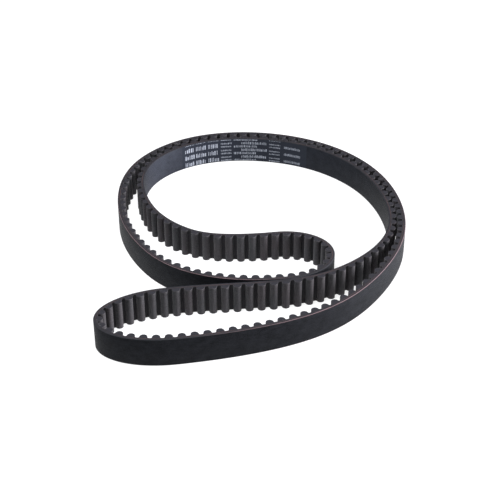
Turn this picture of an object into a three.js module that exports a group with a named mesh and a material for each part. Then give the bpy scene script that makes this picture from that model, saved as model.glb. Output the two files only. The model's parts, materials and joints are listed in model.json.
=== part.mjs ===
// Endless timing belt with round-topped teeth, standing on one cut edge. The loop is pressed flat into a
// double run, teeth facing teeth, and the double run is wound into a coil with an open lobe at each end.
// Millimetres, +Z up. The origin is on the floor, under the middle of the coil.
import * as THREE from 'three';
import { NURBSCurve } from 'three/addons/curves/NURBSCurve.js';

// ---- Belt ----------------------------------------------------------------------------------------------
const TOOTH_COUNT = 200;
const TOOTH_PITCH = 8;
const BELT_WIDTH = 20;

// ---- Tooth ---------------------------------------------------------------------------------------------
const TOOTH_HEIGHT = 3.4;      // land to tip
const TIP_RADIUS = 2.57;       // round top of a tooth
const TIP_FACETS = 3;          // flat faces that stand for the round top
const ROOT_RADIUS = 0.8;       // fillet from a tooth's side to the land, cut as one flat
const NARROWEST_LAND = 0.1;    // land left between a cut and the fillet, which gives way to keep it

// ---- Layers, from the toothed face to the back ---------------------------------------------------------
const FACING_THICKNESS = 0.25; // nylon cloth over the teeth
const WEB_THICKNESS = 0.146;   // rubber left between two teeth, under the cloth
const CORD_THICKNESS = 0.5;    // the band that stands for the wound cords
const BACKING_THICKNESS = 1.24;
const LAYER_GAP = 0.02;        // between bonded layers, so that no two solids touch
const PANEL_THICKNESS = 0.06;  // printed panel on the back
const PANEL_LENGTH = 104;
const PANEL_EDGE = 0.5;        // bare back above and below the panel

// ---- Clearances ----------------------------------------------------------------------------------------
const TIP_GAP = 0.3;           // between facing tooth tips where the two runs are pressed together
const REST_GAP = 0.3;          // between the backs of the two lobes where they lean on each other
const CUT_GAP = 0.4;           // between two stretches of the belt, where it is parted to bend

// ---- Lay -----------------------------------------------------------------------------------------------
// Control points of the spine that runs between the two runs of the belt. Each is x, y and how much further
// each run stands from the spine there than where the tooth tips almost touch.
const LAY = [
  [-50, -102, 22],             // front lobe, closed end
  [-20, -97, 22],
  [32, -89, 16],
  [72, -61, 7],
  [103, -16, 0],               // right side, the runs come together
  [106, 33, 0],
  [91, 84, 0],
  [55, 122, 0],
  [4, 139, 0],                 // back
  [-50, 131, 0],
  [-88, 91, 0],
  [-89, 37, 5],                // left side, the runs part again
  [-67, -15, 12],
  [-25, -41, 23],
  [23, -33, 23],               // inner lobe, closed end
];
const LIFTED_POINTS = 2;       // points at the inner end that shift until this lobe rests on the front one
const FRONT_BEND_REACH = 1.8;  // length of a lobe's round end, as a multiple of its half height
const INNER_BEND_REACH = 1.2;
const FRONT_HINGE_AT = 0.24;   // places along the spine, from 0 at the front lobe to 1 at the inner one
const INNER_HINGE_AT = 0.81;
const PANEL_AT = 0.605;

const RUN_STEPS = 500;
const BEND_STEPS = 60;
const SOLVER_ROUNDS = 5;
const SOLVER_HALVINGS = 24;
const SCALE_LIMITS = [0.3, 3];
const LIFT_LIMITS = [-40, 40]; // mm

// ---- Depths from the cord line, positive towards the back ----------------------------------------------
const cordFace = CORD_THICKNESS / 2;
const webBack = -cordFace - LAYER_GAP;
const land = webBack - WEB_THICKNESS - LAYER_GAP - FACING_THICKNESS;
const backingFace = cordFace + LAYER_GAP;
const back = backingFace + BACKING_THICKNESS;
const panelFace = back + LAYER_GAP;
const closedHalfGap = TOOTH_HEIGHT - land + TIP_GAP / 2;

// ---- Lines in the plane --------------------------------------------------------------------------------
function rightOf(from, to) {
  return new THREE.Vector2(to.y - from.y, from.x - to.x).normalize();
}

// Moves a closed line to the right of its direction, with mitred corners.
function offsetLoop(points, distance) {
  const count = points.length;
  return points.map((point, i) => {
    const arriving = rightOf(points[(i + count - 1) % count], point);
    const leaving = rightOf(point, points[(i + 1) % count]);
    const mitre = arriving.clone().add(leaving).divideScalar(1 + arriving.dot(leaving));
    return point.clone().addScaledVector(mitre, distance);
  });
}

function loopLength(points) {
  const count = points.length;
  return points.reduce((sum, point, i) => sum + point.distanceTo(points[(i + 1) % count]), 0);
}

// Points at equal distances along a closed line.
function spaceEvenly(points, count) {
  const spacing = loopLength(points) / count;
  const spaced = [];
  let travelled = 0;
  let next = 0;
  points.forEach((point, i) => {
    const following = points[(i + 1) % points.length];
    const span = point.distanceTo(following);
    while (next < travelled + span && spaced.length < count) {
      spaced.push(point.clone().lerp(following, (next - travelled) / span));
      next += spacing;
    }
    travelled += span;
  });
  return spaced;
}

function nearestIndex(points, target) {
  let best = 0;
  points.forEach((point, i) => {
    if (point.distanceTo(target) < points[best].distanceTo(target)) {
      best = i;
    }
  });
  return best;
}

// The value between low and high at which a rising function reaches the goal.
function solveRising(measure, goal, limits) {
  let [below, above] = limits;
  for (let i = 0; i < SOLVER_HALVINGS; i += 1) {
    const middle = (below + above) / 2;
    if (measure(middle) < goal) {
      below = middle;
    } else {
      above = middle;
    }
  }
  return (below + above) / 2;
}

// ---- Cord line -----------------------------------------------------------------------------------------
function spineCurve(scale, lift) {
  const degree = 3;
  const spans = LAY.length - degree;
  const knots = Array(degree).fill(0);
  for (let i = 0; i <= spans; i += 1) {
    knots.push(i / spans);
  }
  knots.push(...Array(degree).fill(1));
  const points = LAY.map(([x, y, opening], i) => {
    const shift = i < LAY.length - LIFTED_POINTS ? 0 : lift;
    return new THREE.Vector4(x * scale, y * scale + shift, opening * scale, 1);
  });
  return new NURBSCurve(degree, knots, points);
}

// The outer and the inner run of the cord line, both listed from the front lobe to the inner lobe.
function layRuns(scale, lift) {
  const spine = spineCurve(scale, lift);
  const outer = [];
  const inner = [];
  for (let i = 0; i <= RUN_STEPS; i += 1) {
    const place = spine.getPoint(i / RUN_STEPS);
    const heading = spine.getTangent(i / RUN_STEPS);
    const side = new THREE.Vector2(heading.y, -heading.x).normalize();
    const middle = new THREE.Vector2(place.x, place.y);
    outer.push(middle.clone().addScaledVector(side, closedHalfGap + place.z));
    inner.push(middle.clone().addScaledVector(side, -closedHalfGap - place.z));
  }
  return { outer, inner };
}

// Half an ellipse from the end of one run round to the end of the other.
function lobeBend(from, to, reach) {
  const middle = from.clone().add(to).divideScalar(2);
  const arm = from.clone().sub(middle);
  const heading = rightOf(from, to);
  const points = [];
  for (let i = 1; i < BEND_STEPS; i += 1) {
    const turn = (Math.PI * i) / BEND_STEPS;
    const point = middle.clone().addScaledVector(arm, Math.cos(turn));
    points.push(point.addScaledVector(heading, Math.sin(turn) * reach * arm.length()));
  }
  return points;
}

// Out along the outer run, round the inner lobe, home along the inner run and round the front lobe.
// The belt's back is on the right all the way.
function joinRuns({ outer, inner }) {
  return [
    ...outer,
    ...lobeBend(outer[RUN_STEPS], inner[RUN_STEPS], INNER_BEND_REACH),
    ...inner.slice().reverse(),
    ...lobeBend(inner[0], outer[0], FRONT_BEND_REACH),
  ];
}

// How far the inner lobe's outer run stands clear of the front lobe's inner run, back to back.
function lobeClearance({ outer, inner }) {
  const lobeSteps = Math.round(RUN_STEPS * FRONT_HINGE_AT);
  const frontLobe = inner.slice(0, lobeSteps);
  let clearance = Infinity;
  for (const point of outer.slice(-lobeSteps)) {
    const i = nearestIndex(frontLobe, point);
    if (i > 0 && i < lobeSteps - 1) {
      const facing = rightOf(frontLobe[i + 1], frontLobe[i]);
      clearance = Math.min(clearance, point.clone().sub(frontLobe[i]).dot(facing) - 2 * back);
    }
  }
  return clearance;
}

// The lay is scaled until the cord line is exactly as long as its teeth, and the inner lobe is moved until
// it rests on the front lobe.
function layBelt() {
  const length = TOOTH_COUNT * TOOTH_PITCH;
  let scale = 1;
  let lift = 0;
  for (let round = 0; round < SOLVER_ROUNDS; round += 1) {
    scale = solveRising((trial) => loopLength(joinRuns(layRuns(trial, lift))), length, SCALE_LIMITS);
    lift = solveRising((trial) => lobeClearance(layRuns(scale, trial)), REST_GAP, LIFT_LIMITS);
  }
  return layRuns(scale, lift);
}

// ---- Tooth line ----------------------------------------------------------------------------------------
// One tooth, from foot to foot, as distance along the belt from its middle and height over the land.
function toothProfile() {
  const tipCentre = TOOTH_HEIGHT - TIP_RADIUS;
  const widestFoot = (TOOTH_PITCH - CUT_GAP) / 2 - NARROWEST_LAND;
  const foot = Math.min(TIP_RADIUS + ROOT_RADIUS, widestFoot);
  const facetTurn = Math.PI / TIP_FACETS;
  const cornerRadius = TIP_RADIUS / Math.cos(facetTurn / 2);
  const corners = [];
  for (let i = 1; i < TIP_FACETS; i += 1) {
    const turn = facetTurn * i;
    corners.push([-cornerRadius * Math.cos(turn), tipCentre + cornerRadius * Math.sin(turn)]);
  }
  return [[-foot, 0], [-TIP_RADIUS, tipCentre], ...corners, [TIP_RADIUS, tipCentre], [foot, 0]];
}

// The outside of the cloth: between each two roots, a tooth that stands square on its land.
function toothLine(landRoots) {
  const profile = toothProfile();
  return landRoots.flatMap((root, i) => {
    const nextRoot = landRoots[(i + 1) % landRoots.length];
    const middle = root.clone().add(nextRoot).divideScalar(2);
    const along = nextRoot.clone().sub(root).normalize();
    const outward = rightOf(root, nextRoot);
    return profile.map(([distance, height]) =>
      middle.clone().addScaledVector(along, distance).addScaledVector(outward, -height));
  });
}

// ---- Solids --------------------------------------------------------------------------------------------
// The points of a closed line from one index to another, going round past its end where needed.
function takePoints(line, from, to) {
  const count = line.length;
  const points = [];
  for (let i = from; i <= to; i += 1) {
    points.push(line[(i + count) % count].clone());
  }
  return points;
}

// Draws both ends of a stretch back from the cuts.
function trimEnds(points, trim) {
  const last = points.length - 1;
  const startStep = points[1].clone().sub(points[0]).setLength(trim);
  const endStep = points[last - 1].clone().sub(points[last]).setLength(trim);
  points[0].add(startStep);
  points[last].add(endStep);
  return points;
}

// A stretch of a smooth layer, which has one point at each root.
function takeBand(line, from, teeth, trim) {
  return trimEnds(takePoints(line, from, from + teeth), trim);
}

// A stretch of a toothed layer. The cuts run through the middle of the land, so it gets an end point there.
function takeTeeth(line, from, teeth, trim) {
  const perTooth = line.length / TOOTH_COUNT;
  const points = takePoints(line, from * perTooth - 1, (from + teeth) * perTooth);
  const last = points.length - 1;
  points[0].lerp(points[1], 0.5);
  points[last].lerp(points[last - 1], 0.5);
  return trimEnds(points, trim);
}

function makeLayer(name, toothedFace, backFace, material, height = BELT_WIDTH) {
  const shape = new THREE.Shape([...toothedFace, ...backFace.slice().reverse()]);
  const geometry = new THREE.ExtrudeGeometry(shape, { depth: height, bevelEnabled: false });
  const mesh = new THREE.Mesh(geometry, new THREE.MeshStandardMaterial(material));
  mesh.name = name;
  mesh.position.z = (BELT_WIDTH - height) / 2;
  return mesh;
}

const BACKING_RUBBER = { color: 0x22272c, roughness: 0.55, metalness: 0 };
const CORD = { color: 0x6b3a34, roughness: 0.8, metalness: 0 };
const TOOTH_RUBBER = { color: 0x2b2c2e, roughness: 0.75, metalness: 0 };
const NYLON_CLOTH = { color: 0x3b3836, roughness: 0.85, metalness: 0 };
const PRINT = { color: 0x8d979e, roughness: 0.5, metalness: 0 };

const runs = layBelt();
const roots = spaceEvenly(joinRuns(runs), TOOTH_COUNT);
const clothOutside = toothLine(offsetLoop(roots, land));
const lines = {
  clothOutside,
  clothInside: offsetLoop(clothOutside, FACING_THICKNESS),
  toothRubber: offsetLoop(clothOutside, FACING_THICKNESS + LAYER_GAP),
  webBack: offsetLoop(roots, webBack),
  cordTeethSide: offsetLoop(roots, -cordFace),
  cordBackSide: offsetLoop(roots, cordFace),
  backingFace: offsetLoop(roots, backingFace),
  back: offsetLoop(roots, back),
};

function rootNear(run, place) {
  return nearestIndex(roots, run[Math.round(RUN_STEPS * place)]);
}

// The belt is parted across both runs at each hinge, which leaves four stretches.
const frontCut = { outer: rootNear(runs.outer, FRONT_HINGE_AT), inner: rootNear(runs.inner, FRONT_HINGE_AT) };
const innerCut = { outer: rootNear(runs.outer, INNER_HINGE_AT), inner: rootNear(runs.inner, INNER_HINGE_AT) };
const STRETCHES = [
  ['front_lobe', frontCut.inner, frontCut.outer],
  ['coil_outer_run', frontCut.outer, innerCut.outer],
  ['inner_lobe', innerCut.outer, innerCut.inner],
  ['coil_inner_run', innerCut.inner, frontCut.inner],
];

const belt = new THREE.Group();
for (const [name, from, to] of STRETCHES) {
  const teeth = (to - from + TOOTH_COUNT) % TOOTH_COUNT;
  const band = (line) => takeBand(line, from, teeth, CUT_GAP / 2);
  const toothed = (line) => takeTeeth(line, from, teeth, CUT_GAP / 2);
  belt.add(
    makeLayer(`${name}_backing`, band(lines.backingFace), band(lines.back), BACKING_RUBBER),
    makeLayer(`${name}_cords`, band(lines.cordTeethSide), band(lines.cordBackSide), CORD),
    makeLayer(`${name}_teeth`, toothed(lines.toothRubber), band(lines.webBack), TOOTH_RUBBER),
    makeLayer(`${name}_facing`, toothed(lines.clothOutside), toothed(lines.clothInside), NYLON_CLOTH),
  );
}

// ---- Printed panel, on the back of the inner run -------------------------------------------------------
const panelTeeth = Math.round(PANEL_LENGTH / TOOTH_PITCH);
const panelStart = rootNear(runs.inner, PANEL_AT) - Math.floor(panelTeeth / 2);
const takePanel = (depth) => takeBand(offsetLoop(roots, depth), panelStart, panelTeeth, 0);
belt.add(makeLayer(
  'printed_panel',
  takePanel(panelFace),
  takePanel(panelFace + PANEL_THICKNESS),
  PRINT,
  BELT_WIDTH - 2 * PANEL_EDGE,
));

// ---- Placing --------------------------------------------------------------------------------------------
const bounds = new THREE.Box2().setFromPoints(lines.back);
const middle = bounds.getCenter(new THREE.Vector2());
belt.position.set(-middle.x, -middle.y, 0);
const part = new THREE.Group();
part.add(belt);

export default part;
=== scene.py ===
# A rubber timing belt with round teeth, two hundred of them, lying on its edge in a loose double coil.
# It is built as it is made: the cords are wound first, then come the rubber, the cloth and the print.
import json
import math
import random

import bpy
import numpy as np
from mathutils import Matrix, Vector


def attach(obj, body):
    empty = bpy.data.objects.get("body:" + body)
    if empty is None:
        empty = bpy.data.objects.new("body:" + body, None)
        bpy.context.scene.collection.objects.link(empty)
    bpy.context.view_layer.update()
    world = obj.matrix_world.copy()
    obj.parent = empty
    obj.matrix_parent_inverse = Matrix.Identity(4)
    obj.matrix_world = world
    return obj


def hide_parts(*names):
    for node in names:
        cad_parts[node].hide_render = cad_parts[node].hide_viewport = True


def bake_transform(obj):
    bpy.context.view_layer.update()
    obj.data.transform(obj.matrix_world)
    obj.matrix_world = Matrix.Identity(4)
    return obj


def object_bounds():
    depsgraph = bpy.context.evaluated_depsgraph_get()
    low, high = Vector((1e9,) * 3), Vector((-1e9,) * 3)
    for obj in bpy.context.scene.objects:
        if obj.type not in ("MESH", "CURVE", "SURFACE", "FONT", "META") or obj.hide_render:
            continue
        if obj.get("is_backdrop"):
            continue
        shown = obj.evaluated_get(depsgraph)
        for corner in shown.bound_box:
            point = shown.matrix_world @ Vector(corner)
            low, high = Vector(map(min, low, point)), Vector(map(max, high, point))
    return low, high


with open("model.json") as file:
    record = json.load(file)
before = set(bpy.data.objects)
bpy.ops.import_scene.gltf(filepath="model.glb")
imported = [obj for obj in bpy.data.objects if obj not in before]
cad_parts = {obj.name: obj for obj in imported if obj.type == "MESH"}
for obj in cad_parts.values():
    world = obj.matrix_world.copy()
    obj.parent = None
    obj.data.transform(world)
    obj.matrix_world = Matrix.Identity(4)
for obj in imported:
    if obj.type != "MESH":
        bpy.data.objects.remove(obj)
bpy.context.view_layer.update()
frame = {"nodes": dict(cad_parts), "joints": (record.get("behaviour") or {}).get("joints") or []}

nodes = frame["nodes"]
MM = 0.001

# ---- Cords ------------------------------------------------------------------------------------------
# Twisted glass-fibre cords, dipped red-brown so that rubber holds on to them, are wound on the mould
# first. They never stretch, so the belt's whole length and lay is told by their line.
TOOTH_PITCH = 8 * MM
CORD_THICKNESS = 0.54 * MM
BELT_LOW = 0.0
BELT_HIGH = 20 * MM


def band_middle(node):
    """Middle line of a thin band that stands on edge, from one of its ends to the other."""
    corners = np.array([corner.co for corner in node.data.vertices])
    rim = corners[corners[:, 2] < corners[:, 2].min() + 0.1 * MM, :2]
    rim = np.unique(rim.round(7), axis=0)
    apart = np.linalg.norm(rim[:, None] - rim[None], axis=2)
    np.fill_diagonal(apart, np.inf)
    partner = apart.argmin(1)
    one_of_two = np.arange(len(rim)) < partner
    middles = (rim[one_of_two] + rim[partner[one_of_two]]) / 2
    apart = np.linalg.norm(middles[:, None] - middles[None], axis=2)
    np.fill_diagonal(apart, np.inf)
    second_nearest = np.sort(apart, axis=1)[:, 1]
    order = [int(np.argmax(second_nearest))]
    while len(order) < len(middles):
        steps = apart[order[-1]].copy()
        steps[order] = np.inf
        order.append(int(steps.argmin()))
    return middles[order]


def closed_line(stretches):
    """The land points of the whole belt in order, and how many teeth each stretch has."""
    lines = [band_middle(nodes[f"{stretch}_cords"]) for stretch in stretches]
    facing_on = []
    for line, following in zip(lines, lines[1:] + lines[:1]):
        ends = following[[0, -1]]
        from_last = np.linalg.norm(ends - line[-1], axis=1).min()
        from_first = np.linalg.norm(ends - line[0], axis=1).min()
        facing_on.append(line if from_last < from_first else line[::-1])
    points = []
    for line, before in zip(facing_on, facing_on[-1:] + facing_on[:-1]):
        points.append((before[-1] + line[0]) / 2)
        points.extend(line[1:-1])
    return np.array(points), [len(line) - 1 for line in facing_on]


STRETCHES = ["front_lobe", "coil_outer_run", "inner_lobe", "coil_inner_run"]
lands, teeth_in = closed_line(STRETCHES)
TEETH = len(lands)

# A Fourier series through the two hundred lands gives one smooth closed curve.
waves = np.fft.fft(lands[:, 0] + 1j * lands[:, 1]) / TEETH
turns = np.fft.fftfreq(TEETH, 1 / TEETH)


def on_belt(places, depth):
    """Points at places counted in teeth, at a depth from the cords; the back is at positive depths."""
    places = np.asarray(places, float)
    phases = np.exp(2j * np.pi * places[:, None] * turns / TEETH)
    middle = phases @ waves
    heading = phases @ (2j * np.pi * turns / TEETH * waves)
    point = middle - 1j * heading / abs(heading) * depth
    return np.column_stack([point.real, point.imag])


def flexing(places):
    """How sharply the belt is bent at each place, in radians per metre."""
    places = np.asarray(places, float)
    phases = np.exp(2j * np.pi * places[:, None] * turns / TEETH)
    rate = 2j * np.pi * turns / TEETH
    first = phases @ (rate * waves)
    second = phases @ (rate**2 * waves)
    return (first.conjugate() * second).imag / abs(first) ** 3


# The belt is made in three lengths: the coil, and the two loops at its joints. Each loop takes a few
# teeth of the coil with it.
BEND_TEETH = 4
BEND_END = 36 * MM
front_end = teeth_in[0]
coil_end = front_end + teeth_in[1]
inner_end = coil_end + teeth_in[2]
LENGTHS = {
    "front_lobe": [(-BEND_TEETH, front_end + BEND_TEETH)],
    "inner_lobe": [(coil_end - BEND_TEETH, inner_end + BEND_TEETH)],
    "coil": [
        (front_end + BEND_TEETH, coil_end - BEND_TEETH),
        (inner_end + BEND_TEETH, TEETH - BEND_TEETH),
    ],
}
CAD_LENGTHS = {
    "front_lobe": ["front_lobe"],
    "inner_lobe": ["inner_lobe"],
    "coil": ["coil_outer_run", "coil_inner_run"],
}


def bend_line(joint):
    """Where the bend starts and ends, along the belt's own direction at the joint."""
    pivot = np.array(joint["pos_m"][:2])
    places = np.array(LENGTHS[joint["child"]][0], float)
    cuts = places + [BEND_TEETH, -BEND_TEETH]
    ahead = on_belt(cuts + [0.5, -0.5], 0) - on_belt(cuts - [0.5, -0.5], 0)
    direction = ahead.sum(0)
    direction /= np.linalg.norm(direction)
    seams = np.concatenate([on_belt(places, 2 * MM), on_belt(places, -5 * MM)])
    start = pivot + direction * ((seams - pivot) @ direction).max()
    end = pivot + direction * BEND_END
    height = (BELT_LOW + BELT_HIGH) / 2
    return (*start.tolist(), height), (*end.tolist(), height)


bends = {joint["child"]: bend_line(joint) for joint in frame["joints"]}


def swing(piece, length):
    """Attaches a piece of the coil to the coil's body; a piece of a loop is only baked where it lies."""
    if length == "coil":
        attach(piece, "coil")
    else:
        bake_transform(piece)


SHARP_FROM = math.radians(30)


def sweep(name, runs, section, materials):
    """A solid swept along the belt. A run is (places, inner line, outer line), and the section goes
    round as (share of the way from inner to outer, height, material of the face that follows)."""
    corners, faces, kinds, laid, bends_here, places_here = [], [], [], [], [], []
    count = len(section)
    for places, inner, outer in runs:
        first = len(corners)
        rings = [inner + (outer - inner) * share for share, _, _ in section]
        heights = [height for _, height, _ in section]
        solid = np.stack([np.column_stack([ring, np.full(len(ring), height)])
                          for ring, height in zip(rings, heights)], axis=1)
        corners.extend(solid.reshape(-1, 3).tolist())
        bends_here.extend(np.repeat(abs(flexing(places)), count).tolist())
        places_here.extend(np.repeat(places / TEETH, count).tolist())
        steps = np.linalg.norm(np.diff(inner + outer, axis=0), axis=1) / 2
        per_tooth = steps.sum() / (places[-1] - places[0])
        along = places[0] * per_tooth + np.concatenate([[0], np.cumsum(steps)])
        middle = solid[len(solid) // 2]
        round_it = np.linalg.norm(np.roll(middle, -1, axis=0) - middle, axis=1)
        across = np.concatenate([[0], np.cumsum(round_it)])
        for i in range(len(places) - 1):
            for j in range(count):
                after = (j + 1) % count
                low, high = first + i * count, first + (i + 1) * count
                faces.append((low + j, high + j, high + after, low + after))
                kinds.append(section[j][2])
                laid.extend([(along[i], across[j]), (along[i + 1], across[j]),
                             (along[i + 1], across[j + 1]), (along[i], across[j + 1])])
        last = first + (len(places) - 1) * count
        faces.append(tuple(first + j for j in range(count)))
        faces.append(tuple(last + j for j in reversed(range(count))))
        kinds.extend([section[0][2]] * 2)
        laid.extend([(along[0], across[j]) for j in range(count)])
        laid.extend([(along[-1], across[j]) for j in reversed(range(count))])
    mesh = bpy.data.meshes.new(name)
    mesh.from_pydata(corners, [], faces)
    flat = mesh.uv_layers.new(name="along_belt")
    flat.data.foreach_set("uv", np.array(laid, np.float32).ravel())
    for material in materials:
        mesh.materials.append(material)
    mesh.polygons.foreach_set("material_index", kinds)
    flexed = mesh.attributes.new("flexed", "FLOAT", "POINT")
    flexed.data.foreach_set("value", np.array(bends_here, np.float32))
    place = mesh.attributes.new("place", "FLOAT", "POINT")
    place.data.foreach_set("value", np.array(places_here, np.float32))
    mesh.shade_smooth()
    mesh.set_sharp_from_angle(angle=SHARP_FROM)
    mesh.update()
    piece = bpy.data.objects.new(name, mesh)
    bpy.context.scene.collection.objects.link(piece)
    return piece


def new_finish(name):
    """An empty material, with its shader."""
    material = bpy.data.materials.new(name)
    material.use_nodes = True
    return material, material.node_tree, material.node_tree.nodes["Principled BSDF"]


def add(tree, kind, **settings):
    """A node with its settings. A socket as a value is linked, and anything else is set."""
    node = tree.nodes.new(kind)
    for name, value in settings.items():
        if hasattr(node, name):
            setattr(node, name, value)
            continue
        socket = node.inputs[int(name[1:]) if name[1:].isdigit() else name.replace("_", " ")]
        if isinstance(value, bpy.types.NodeSocket):
            tree.links.new(value, socket)
        else:
            socket.default_value = value
    return node


def flat_places(tree, along=1.0, across=1.0):
    """Millimetres along the belt and round its section, stretched as asked."""
    laid = add(tree, "ShaderNodeUVMap", uv_map="along_belt").outputs["UV"]
    scale = (along / MM, across / MM, 1)
    return add(tree, "ShaderNodeMapping", Vector=laid, Scale=scale).outputs["Vector"]


def noise(tree, places, scale, detail=2.0, roughness=0.5):
    return add(tree, "ShaderNodeTexNoise", Vector=places, Scale=scale, Detail=detail,
               Roughness=roughness).outputs["Fac"]


def from_to(tree, value, low, high, new_low=0.0, new_high=1.0):
    return add(tree, "ShaderNodeMapRange", Value=value, From_Min=low, From_Max=high,
               To_Min=new_low, To_Max=new_high).outputs["Result"]


def calc(tree, operation, a, b=0.0):
    return add(tree, "ShaderNodeMath", operation=operation, _0=a, _1=b).outputs["Value"]


def blend_colours(tree, share, a, b):
    node = add(tree, "ShaderNodeMix", data_type="RGBA", blend_type="MIX", _0=share, _6=a, _7=b)
    return node.outputs[2]


def raise_surface(tree, shader, height, depth, under=None):
    """Bump, given its full depth in metres."""
    bump = add(tree, "ShaderNodeBump", Height=height, Strength=1.0, Distance=depth)
    if under is not None:
        tree.links.new(under, bump.inputs["Normal"])
    tree.links.new(bump.outputs["Normal"], shader.inputs["Normal"])
    return bump.outputs["Normal"]


def cord_finish():
    """Red-brown dipped glass fibre where the knife has run along a cord, black rubber where not."""
    material, tree, shader = new_finish("cut_cord")
    fibres = noise(tree, flat_places(tree, 1.6, 9), 1.0, 3.0, 0.6)
    bared = noise(tree, flat_places(tree, 0.028, 0.0), 1.0, 1.5)
    bared = from_to(tree, bared, 0.40, 0.62)
    fibre_colour = blend_colours(tree, fibres, (0.022, 0.013, 0.012, 1), (0.085, 0.050, 0.047, 1))
    colour = blend_colours(tree, bared, (0.014, 0.012, 0.012, 1), fibre_colour)
    tree.links.new(colour, shader.inputs["Base Color"])
    tree.links.new(from_to(tree, fibres, 0, 1, 0.62, 0.85), shader.inputs["Roughness"])
    shader.inputs["Specular IOR Level"].default_value = 0.3
    raise_surface(tree, shader, fibres, 0.08 * MM)
    return material


cut_cord = cord_finish()
CORD_SUNK = 0.05 * MM
cord_section = [
    (0, BELT_LOW + CORD_SUNK, 0),
    (1, BELT_LOW + CORD_SUNK, 0),
    (1, BELT_HIGH - CORD_SUNK, 0),
    (0, BELT_HIGH - CORD_SUNK, 0),
]
STEPS_PER_TOOTH = 8
for length, spans in LENGTHS.items():
    runs = []
    for first, last in spans:
        places = np.linspace(first, last, (last - first) * STEPS_PER_TOOTH + 1)
        tooth_side = on_belt(places, -CORD_THICKNESS / 2)
        back_side = on_belt(places, CORD_THICKNESS / 2)
        runs.append((places, tooth_side, back_side))
    cords = sweep(f"cords_{length}", runs, cord_section, [cut_cord])
    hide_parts(*[f"{stretch}_cords" for stretch in CAD_LENGTHS[length]])
    swing(cords, length)

# ---- Backing ----------------------------------------------------------------------------------------
# A sheet of black rubber is laid over the cords and cured on to them. Its back is ground with a fine
# stone that leaves streaks along the belt, with some powder of the mould left on the inner run. The
# knife that slits the belts apart leaves the corners a little rounded, and along the corner of the
# outer run a pale, slightly pink line is painted as a highlight.
BACK_FACE = 1.51 * MM
CORNER = 0.30 * MM


def ground_rubber():
    material, tree, shader = new_finish("ground_rubber")
    mottle = noise(tree, flat_places(tree, 0.16, 0.22), 1.0, 5.0, 0.68)
    streaks = noise(tree, flat_places(tree, 0.12, 5.0), 1.0, 3.0, 0.6)
    grain = noise(tree, flat_places(tree, 3.2, 3.2), 1.0, 3.0, 0.65)
    chalk = noise(tree, flat_places(tree, 1.4, 1.4), 1.0, 4.0, 0.8)
    base = blend_colours(tree, from_to(tree, mottle, 0.36, 0.64), (0.0010, 0.0014, 0.0022, 1),
                         (0.0080, 0.0088, 0.0112, 1))
    base = blend_colours(tree, from_to(tree, streaks, 0.45, 0.75, 0, 0.6), base,
                         (0.017, 0.018, 0.021, 1))
    base = blend_colours(tree, from_to(tree, chalk, 0.52, 0.72, 0, 0.5), base,
                         (0.030, 0.031, 0.035, 1))
    base = blend_colours(tree, from_to(tree, chalk, 0.30, 0.46, 0.7, 0), base,
                         (0.0008, 0.0009, 0.0012, 1))
    place = add(tree, "ShaderNodeAttribute", attribute_name="place").outputs["Fac"]
    powder = calc(tree, "MULTIPLY", from_to(tree, place, POWDER_FROM, POWDER_FROM + 0.02, 0, 1),
                  from_to(tree, place, POWDER_FROM + 0.03, POWDER_TO, 1, 0))
    powder = calc(tree, "MULTIPLY", powder, from_to(tree, mottle, 0.25, 0.75, 0.45, 0.85))
    base = blend_colours(tree, powder, base, (0.031, 0.035, 0.047, 1))
    tree.links.new(base, shader.inputs["Base Color"])
    rough = calc(tree, "ADD", from_to(tree, streaks, 0.2, 0.8, 0.50, 0.60),
                 from_to(tree, grain, 0.2, 0.8, -0.05, 0.10))
    tree.links.new(rough, shader.inputs["Roughness"])
    shader.inputs["Specular IOR Level"].default_value = 0.10
    shader.inputs["Specular Tint"].default_value = (0.84, 0.89, 1.0, 1)
    fine = raise_surface(tree, shader, grain, 0.14 * MM)
    coarse = raise_surface(tree, shader, chalk, 0.12 * MM, fine)
    raise_surface(tree, shader, streaks, 0.08 * MM, coarse)
    return material


def cut_rubber(name, tint, spots):
    """The sawn edge: greyer than the back, with knife lines along it and pale specks of fibre."""
    material, tree, shader = new_finish(name)
    lines = noise(tree, flat_places(tree, 0.25, 9.0), 1.0, 3.0, 0.6)
    crumbs = noise(tree, flat_places(tree, 2.4, 2.4), 1.0, 3.0, 0.7)
    ragged = add(tree, "ShaderNodeTexNoise", Vector=flat_places(tree, 3.0, 3.0), Scale=1.0)
    pushed = add(tree, "ShaderNodeVectorMath", operation="MULTIPLY_ADD", _0=ragged.outputs["Color"],
                 _1=(1.1, 1.1, 0), _2=flat_places(tree, 1.2, 1.2)).outputs["Vector"]
    specks = add(tree, "ShaderNodeTexVoronoi", Vector=pushed, Scale=1.0)
    near_speck = from_to(tree, specks.outputs["Distance"], 0.12, 0.28, 1, 0)
    chosen = calc(tree, "GREATER_THAN", specks.outputs["Color"], 1 - spots)
    bend = add(tree, "ShaderNodeAttribute", attribute_name="flexed").outputs["Fac"]
    chosen = calc(tree, "MULTIPLY", chosen, from_to(tree, bend, 8, 45, 0.35, 1.0))
    dark = (tint[0] * 0.45, tint[1] * 0.45, tint[2] * 0.45, 1)
    pale = (tint[0], tint[1], tint[2], 1)
    base = blend_colours(tree, from_to(tree, crumbs, 0.3, 0.7), dark, pale)
    base = blend_colours(tree, from_to(tree, lines, 0.5, 0.8, 0, 0.45), base,
                         (tint[0] * 2.1, tint[1] * 2.1, tint[2] * 2.1, 1))
    base = blend_colours(tree, calc(tree, "MULTIPLY", near_speck, chosen), base,
                         (0.20, 0.19, 0.19, 1))
    tree.links.new(base, shader.inputs["Base Color"])
    tree.links.new(from_to(tree, crumbs, 0.2, 0.8, 0.70, 0.95), shader.inputs["Roughness"])
    shader.inputs["Specular IOR Level"].default_value = 0.3
    coarse = raise_surface(tree, shader, crumbs, 0.10 * MM)
    raise_surface(tree, shader, lines, 0.05 * MM, coarse)
    return material


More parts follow.
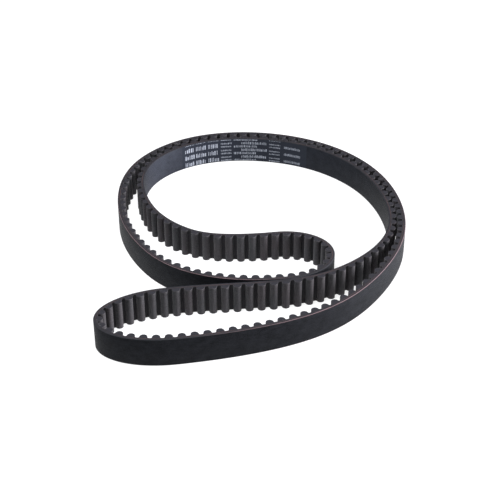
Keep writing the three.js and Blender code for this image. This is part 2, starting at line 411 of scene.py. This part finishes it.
def painted_highlight_corner():
    """The knife's corner. On the outer run a pale, slightly pink line is painted along it as a highlight.
    """
    material, tree, shader = new_finish("painted_highlight_corner")
    place = add(tree, "ShaderNodeAttribute", attribute_name="place").outputs["Fac"]
    starts = from_to(tree, place, HIGHLIGHT_FROM - 0.02, HIGHLIGHT_FROM + 0.03, 0, 1)
    ends = from_to(tree, place, HIGHLIGHT_TO, HIGHLIGHT_TO + 0.03, 1, 0)
    broken = noise(tree, flat_places(tree, 0.16, 1.5), 1.0, 4.0, 0.7)
    share = calc(tree, "MULTIPLY", calc(tree, "MULTIPLY", starts, ends),
                 from_to(tree, broken, 0.28, 0.50, 0.35, 1.0))
    # Painted highlight: a pale, slightly pink line along the corner of the outer run, broken up by noise.
    base = blend_colours(tree, share, (0.014, 0.015, 0.018, 1), (0.150, 0.098, 0.104, 1))
    tree.links.new(base, shader.inputs["Base Color"])
    tree.links.new(from_to(tree, broken, 0.2, 0.8, 0.60, 0.85), shader.inputs["Roughness"])
    shader.inputs["Specular IOR Level"].default_value = 0.3
    raise_surface(tree, shader, broken, 0.05 * MM)
    return material


HIGHLIGHT_PAST = 19        # teeth that the painted corner highlight runs on past each end of the outer run
POWDER_TEETH = 34       # teeth of the inner run that still have powder on their back
HIGHLIGHT_FROM = (front_end - HIGHLIGHT_PAST) / TEETH
HIGHLIGHT_TO = (coil_end + HIGHLIGHT_PAST) / TEETH
POWDER_FROM = (inner_end + 1) / TEETH
POWDER_TO = (inner_end + POWDER_TEETH) / TEETH
back_finish = ground_rubber()
edge_finish = cut_rubber("cut_backing", (0.0170, 0.0168, 0.0225), 0.14)
corner_finish = painted_highlight_corner()

backing_low = CORD_THICKNESS / 2
corner_share = CORNER / (BACK_FACE - backing_low)
half_share = corner_share * 0.3
half_drop = CORNER * 0.3
backing_section = [
    (0, BELT_LOW, 1),
    (1 - corner_share, BELT_LOW, 2),
    (1 - half_share, BELT_LOW + half_drop, 2),
    (1, BELT_LOW + CORNER, 0),
    (1, BELT_HIGH - CORNER, 2),
    (1 - half_share, BELT_HIGH - half_drop, 2),
    (1 - corner_share, BELT_HIGH, 1),
    (0, BELT_HIGH, 1),
]
for length, spans in LENGTHS.items():
    runs = []
    for first, last in spans:
        places = np.linspace(first, last, (last - first) * STEPS_PER_TOOTH + 1)
        runs.append((places, on_belt(places, backing_low), on_belt(places, BACK_FACE)))
    backing = sweep(f"backing_{length}", runs, backing_section,
                    [back_finish, edge_finish, corner_finish])
    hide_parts(*[f"{stretch}_backing" for stretch in CAD_LENGTHS[length]])
    swing(backing, length)

# ---- Tooth rubber -----------------------------------------------------------------------------------
# Under heat the same rubber is pressed between the cords into the grooves of the mould. Each tooth is
# half a cylinder on short upright sides, with a fillet on either side where it meets the land.
TOOTH_HEIGHT = 3.4 * MM
TIP_RADIUS = 2.57 * MM
ROOT_RADIUS = 0.8 * MM
LAND_DEPTH = 0.686 * MM
CLOTH = 0.25 * MM
TIP_STEPS = 14
ROOT_STEPS = 4
FOOT = TIP_RADIUS + ROOT_RADIUS


def tooth_outline(inset):
    """Half-widths and heights over the land from one foot of a tooth to the other, the given
    distance inside the cloth's face."""
    tip, root = TIP_RADIUS - inset, ROOT_RADIUS + inset
    turning = np.linspace(0, np.pi / 2, ROOT_STEPS + 1)
    foot_x = -FOOT + root * np.sin(turning)
    foot_y = ROOT_RADIUS - root * np.cos(turning)
    over = np.linspace(np.pi, 0, TIP_STEPS + 1)
    tip_x = tip * np.cos(over)
    tip_y = TOOTH_HEIGHT - TIP_RADIUS + tip * np.sin(over)
    x = np.concatenate([foot_x, tip_x, -foot_x[::-1]])
    y = np.concatenate([foot_y, tip_y, foot_y[::-1]])
    return x, y


def toothed_line(first, last, inset):
    """Points of the toothed side, tooth after tooth, each tooth keeping its own stiff shape."""
    x, y = tooth_outline(inset)
    base = -LAND_DEPTH + inset
    points, places = [], []
    for tooth in range(first, last):
        here = tooth + 0.5
        left, right = on_belt([here - FOOT / TOOTH_PITCH, here + FOOT / TOOTH_PITCH], base)
        middle, side = (left + right) / 2, right - left
        width = np.linalg.norm(side)
        side /= width
        down = np.array([-side[1], side[0]])
        shape = middle + np.outer(x * width / (2 * FOOT), side) + np.outer(y + inset, down)
        land = on_belt([tooth, tooth + 1], base)
        points.append(land[:1])
        points.append(shape)
        places.append([tooth])
        places.append(here + x / TOOTH_PITCH)
    points.append(land[1:])
    places.append([last])
    return np.concatenate(places), np.concatenate(points)


WEB_BACK = -CORD_THICKNESS / 2
tooth_edge = cut_rubber("cut_tooth_rubber", (0.0170, 0.0165, 0.0220), 0.24)
tooth_section = [
    (0, BELT_LOW, 0),
    (1, BELT_LOW, 0),
    (1, BELT_HIGH, 0),
    (0, BELT_HIGH, 0),
]
for length, spans in LENGTHS.items():
    runs = []
    for first, last in spans:
        places, under_cloth = toothed_line(first, last, CLOTH)
        runs.append((places, under_cloth, on_belt(places, WEB_BACK)))
    teeth = sweep(f"tooth_rubber_{length}", runs, tooth_section, [tooth_edge])
    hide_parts(*[f"{stretch}_teeth" for stretch in CAD_LENGTHS[length]])
    swing(teeth, length)

# ---- Nylon facing -----------------------------------------------------------------------------------
# A stretch nylon cloth lines the mould and comes out bonded over the teeth. It is woven fine and soaked
# in rubber. Painted shade darkens it down in the gaps, and it is painted paler along the tips, partly as
# brushed wear and partly as a painted highlight.
THREAD = 0.46 * MM
RIM_FROM = 2 * CLOTH / MM + (BELT_HIGH - BELT_LOW) / MM      # round the section, to the face's top rim
RIM_TO = RIM_FROM + (BELT_HIGH - BELT_LOW) / MM
RIM_WIDTH = 0.7


def facing_cloth():
    material, tree, shader = new_finish("nylon_cloth")
    laid = flat_places(tree)
    split = add(tree, "ShaderNodeSeparateXYZ", Vector=laid)
    thread = THREAD / MM
    weft = calc(tree, "SINE", calc(tree, "MULTIPLY", split.outputs["X"], math.pi / thread))
    warp = calc(tree, "SINE", calc(tree, "MULTIPLY", split.outputs["Y"], math.pi / thread))
    over = calc(tree, "MULTIPLY", weft, warp)
    weave = from_to(tree, calc(tree, "ABSOLUTE", over), 0.0, 0.85)
    fuzz = noise(tree, flat_places(tree, 3.0, 3.0), 1.0, 4.0, 0.7)
    patches = noise(tree, flat_places(tree, 0.8, 0.7), 1.0, 4.0, 0.75)
    top_rim = from_to(tree, split.outputs["Y"], RIM_FROM, RIM_FROM + RIM_WIDTH, 1, 0)
    low_rim = from_to(tree, split.outputs["Y"], RIM_TO - RIM_WIDTH, RIM_TO, 0, 1)
    rim = calc(tree, "MULTIPLY", calc(tree, "MAXIMUM", top_rim, low_rim),
               from_to(tree, fuzz, 0.3, 0.6, 0.2, 0.8))
    batch = noise(tree, flat_places(tree, 0.055, 0.02), 1.0, 2.0, 0.6)
    smear = noise(tree, flat_places(tree, 0.32, 0.10), 1.0, 4.0, 0.65)
    height = add(tree, "ShaderNodeAttribute", attribute_name="height").outputs["Fac"]
    greenish = (0.022, 0.026, 0.027, 1)
    brownish = (0.035, 0.026, 0.028, 1)
    base = blend_colours(tree, from_to(tree, batch, 0.40, 0.60), greenish, brownish)
    base = blend_colours(tree, from_to(tree, smear, 0.35, 0.75, 0, 0.6), base,
                         (0.014, 0.014, 0.016, 1))
    base = blend_colours(tree, from_to(tree, patches, 0.45, 0.62, 0, 0.8), base,
                         (0.056, 0.052, 0.056, 1))
    # Paler towards the tooth tips: partly brushed wear, partly a painted highlight.
    base = blend_colours(tree, from_to(tree, height, 0.72, 1.0, 0, 0.35), base,
                         (0.052, 0.049, 0.053, 1))
    base = blend_colours(tree, rim, base, (0.085, 0.080, 0.084, 1))
    base = blend_colours(tree, from_to(tree, weave, 0.0, 0.5, 0.55, 0), base,
                         (0.008, 0.008, 0.008, 1))
    base = blend_colours(tree, from_to(tree, fuzz, 0.56, 0.75, 0, 0.4), base,
                         (0.105, 0.100, 0.096, 1))
    # Painted shade: the cloth goes near black down in the gaps between the teeth, by its height over the
    # land.
    base = blend_colours(tree, from_to(tree, height, 0.02, 0.55, 0.80, 0), base,
                         (0.004, 0.004, 0.005, 1))
    tree.links.new(base, shader.inputs["Base Color"])
    tree.links.new(from_to(tree, fuzz, 0.2, 0.8, 0.62, 0.90), shader.inputs["Roughness"])
    shader.inputs["Specular IOR Level"].default_value = 0.30
    shader.inputs["Specular Tint"].default_value = (0.92, 0.90, 1.0, 1)
    shader.inputs["Sheen Weight"].default_value = 0.12
    shader.inputs["Sheen Roughness"].default_value = 0.5
    woven = raise_surface(tree, shader, weave, 0.09 * MM)
    raise_surface(tree, shader, fuzz, 0.06 * MM, woven)
    return material


cloth_face = facing_cloth()
cloth_edge = cut_rubber("cut_cloth", (0.030, 0.028, 0.034), 0.30)
cloth_section = [
    (0, BELT_LOW, 1),
    (1, BELT_LOW, 1),
    (1, BELT_HIGH, 1),
    (0, BELT_HIGH, 0),
]
for length, spans in LENGTHS.items():
    runs = []
    heights = []
    for first, last in spans:
        places, face = toothed_line(first, last, 0)
        _, under = toothed_line(first, last, CLOTH)
        runs.append((places, face, under))
        _, y = tooth_outline(0)
        one_tooth = np.concatenate([[0], y / TOOTH_HEIGHT])
        whole_span = np.append(np.tile(one_tooth, last - first), 0)
        heights.extend(np.repeat(whole_span, len(cloth_section)).tolist())
    facing = sweep(f"facing_{length}", runs, cloth_section, [cloth_face, cloth_edge])
    height = facing.data.attributes.new("height", "FLOAT", "POINT")
    height.data.foreach_set("value", np.array(heights, np.float32))
    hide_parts(*[f"{stretch}_facing" for stretch in CAD_LENGTHS[length]])
    swing(facing, length)

# ---- Printed panel ----------------------------------------------------------------------------------
# A marking is printed on the back from a transfer tape: a thin clear film, a little bluer than the
# rubber, with rows of silver-grey marks. The marks here are plain bars, not writing.
FILM = 0.02 * MM
INK = 0.012 * MM
ROWS = 4
FIRST_ROW = 2.6 * MM
ROW_PITCH = 6.05 * MM


def panel_places():
    """The first and the last land that the printed panel covers."""
    corners = np.array([corner.co for corner in nodes["printed_panel"].data.vertices])[:, :2]
    away = np.linalg.norm(lands[:, None] - corners[None], axis=2).min(1)
    near = np.flatnonzero(away < 2.5 * MM)
    return near.min(), near.max()


def film_finish():
    material, tree, shader = new_finish("transfer_film")
    mottle = noise(tree, flat_places(tree, 0.10, 0.16), 1.0, 4.0, 0.6)
    grain = noise(tree, flat_places(tree, 2.6, 2.6), 1.0, 3.0, 0.6)
    base = blend_colours(tree, mottle, (0.0085, 0.0110, 0.0180, 1), (0.0140, 0.0180, 0.0280, 1))
    tree.links.new(base, shader.inputs["Base Color"])
    tree.links.new(from_to(tree, grain, 0.2, 0.8, 0.42, 0.58), shader.inputs["Roughness"])
    shader.inputs["Specular IOR Level"].default_value = 0.16
    raise_surface(tree, shader, grain, 0.03 * MM)
    return material


def ink_finish():
    material, tree, shader = new_finish("silver_ink")
    worn = noise(tree, flat_places(tree, 1.5, 1.5), 1.0, 4.0, 0.7)
    base = blend_colours(tree, from_to(tree, worn, 0.35, 0.62), (0.10, 0.11, 0.135, 1),
                         (0.35, 0.38, 0.44, 1))
    tree.links.new(base, shader.inputs["Base Color"])
    tree.links.new(from_to(tree, worn, 0.2, 0.8, 0.62, 0.45), shader.inputs["Roughness"])
    raise_surface(tree, shader, worn, 0.01 * MM)
    return material


panel_first, panel_last = panel_places()
places = np.linspace(panel_first, panel_last, (panel_last - panel_first) * STEPS_PER_TOOTH + 1)
film_section = [
    (0, BELT_LOW + CORNER * 1.5, 0),
    (1, BELT_LOW + CORNER * 1.5, 0),
    (1, BELT_HIGH - CORNER * 1.5, 0),
    (0, BELT_HIGH - CORNER * 1.5, 0),
]
film_line = (places, on_belt(places, BACK_FACE), on_belt(places, BACK_FACE + FILM))
film = sweep("transfer_film", [film_line], film_section, [film_finish()])
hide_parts("printed_panel")
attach(film, "coil")


def bar_marks():
    """(first place, last place, low, high) of every printed bar, in rows that run off the edges."""
    chance = random.Random(8)
    floor = BELT_LOW + CORNER * 2
    ceiling = BELT_HIGH - CORNER * 2
    # Each block is where it starts and stops along the row, its line above or below the row's middle,
    # and how tall and how wide its bars are, all in millimetres.
    blocks = [
        (2.9, 10.5, 0.0, 3.6, 0.75),
        (12.5, 21.0, 0.0, 3.6, 0.70),
        (23.0, 30.9, 0.0, 3.6, 0.75),
        (33.5, 42.0, 1.4, 1.3, 0.40),
        (33.5, 42.0, -1.3, 1.3, 0.40),
        (50.0, 70.6, 1.5, 2.3, 0.65),
        (44.0, 62.0, -1.5, 1.9, 0.60),
        (72.5, 81.3, 1.3, 1.1, 0.35),
        (72.5, 81.3, -1.2, 1.1, 0.35),
        (84.7, 98.2, 0.0, 2.0, 0.35),
    ]
    marks = []
    for row in range(ROWS):
        middle = FIRST_ROW + row * ROW_PITCH
        for start, stop, line, tall, wide in blocks:
            along = start
            while along < stop:
                width = wide * chance.choice([0.6, 0.8, 0.8, 1.5])
                height = tall * chance.choice([1.0, 1.0, 0.8]) * MM
                low = max(middle + line * MM - tall * MM / 2, floor)
                high = min(middle + line * MM - tall * MM / 2 + height, ceiling)
                if high - low > 0.2 * MM:
                    begins = panel_first + along * MM / TOOTH_PITCH
                    marks.append((begins, begins + width * MM / TOOTH_PITCH, low, high))
                along += width + wide * chance.choice([0.7, 0.9, 1.2])
    return marks


corners, faces, laid = [], [], []
for mark_first, mark_last, low, high in bar_marks():
    ends = on_belt([mark_first, mark_last], BACK_FACE + FILM)
    raised = on_belt([mark_first, mark_last], BACK_FACE + FILM + INK)
    first = len(corners)
    for line in (ends, raised):
        for x, y in line.tolist():
            corners.extend([(x, y, low), (x, y, high)])
    faces.extend([tuple(first + i for i in side) for side in
                  ((4, 6, 7, 5), (0, 2, 6, 4), (3, 1, 5, 7), (0, 4, 5, 1), (2, 3, 7, 6), (0, 1, 3, 2))])
mesh = bpy.data.meshes.new("printed_bars")
mesh.from_pydata(corners, [], faces)
flat = mesh.uv_layers.new(name="along_belt")
points = np.array([corners[loop.vertex_index] for loop in mesh.loops])
flat.data.foreach_set("uv", points[:, [0, 2]].astype(np.float32).ravel())
mesh.materials.append(ink_finish())
mesh.update()
bars = bpy.data.objects.new("printed_bars", mesh)
bpy.context.scene.collection.objects.link(bars)
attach(bars, "coil")

# ---- Floor ------------------------------------------------------------------------------------------
# A plain white table top, evenly lit, so that the coil stands out clear all round.


def table_top():
    material, tree, shader = new_finish("white_table")
    speckle = noise(tree, add(tree, "ShaderNodeTexCoord").outputs["Object"], 900, 3.0, 0.6)
    tone = blend_colours(tree, speckle, (0.28, 0.28, 0.28, 1), (0.31, 0.31, 0.31, 1))
    tree.links.new(tone, shader.inputs["Base Color"])
    shader.inputs["Roughness"].default_value = 0.9
    shader.inputs["Specular IOR Level"].default_value = 0.1
    shader.inputs["Emission Color"].default_value = (1, 1, 1, 1)
    shader.inputs["Emission Strength"].default_value = 0.82
    return material


bpy.ops.mesh.primitive_plane_add(size=6, location=(0, 0, -0.05 * MM))
table = bpy.context.active_object
table.name = "table"
table.data.materials.append(table_top())
table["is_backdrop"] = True

# ---- Light ------------------------------------------------------------------------------------------
# One broad soft light stands low to the right and a weak one to the left. Another hangs over the
# front of the coil and lights the walls behind it. The room is dim and even.


def soft_light(name, place, aim, size, watts, colour):
    data = bpy.data.lights.new(name, "AREA")
    data.shape = "DISK"
    data.size = size
    data.energy = watts
    data.color = colour
    lamp = bpy.data.objects.new(name, data)
    lamp.location = place
    lamp.rotation_euler = (Vector(aim) - Vector(place)).to_track_quat("-Z", "Y").to_euler()
    bpy.context.scene.collection.objects.link(lamp)


soft_light("right_light", (1.25, 0.0, 0.35), (0, 0, 0), 0.6, 48, (0.97, 0.95, 1.0))
soft_light("left_light", (-1.1, 0.3, 0.5), (0, 0, 0), 0.6, 1.5, (0.95, 0.96, 1.0))
soft_light("hanging_light", (-0.12, -0.11, 0.5), (0.0, 0.15, 0), 0.3, 3.0, (0.93, 0.95, 1.0))
world = bpy.data.worlds.new("pale_room")
world.use_nodes = True
world.node_tree.nodes["Background"].inputs["Color"].default_value = (1, 1, 1, 1)
world.node_tree.nodes["Background"].inputs["Strength"].default_value = 0.28
bpy.context.scene.world = world
bpy.context.scene.view_settings.view_transform = "Standard"

# ---- Camera -----------------------------------------------------------------------------------------
# A long lens on a stand in front of the coil, looking down at it by a little over a third of a right angle.
aim = Vector((-6.1, -5.3, 0)) * MM
away, tilt = 854.7 * MM, math.radians(33.29)
camera = bpy.data.cameras.new("camera")
camera.lens = 86.8
camera.sensor_width = 36
camera.clip_start = 0.01
camera.clip_end = 50
stand = bpy.data.objects.new("camera", camera)
stand.location = aim + Vector((0, -math.cos(tilt), math.sin(tilt))) * away
stand.rotation_euler = (aim - stand.location).to_track_quat("-Z", "Y").to_euler()
bpy.context.scene.collection.objects.link(stand)
bpy.context.scene.camera = stand

low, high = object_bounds()
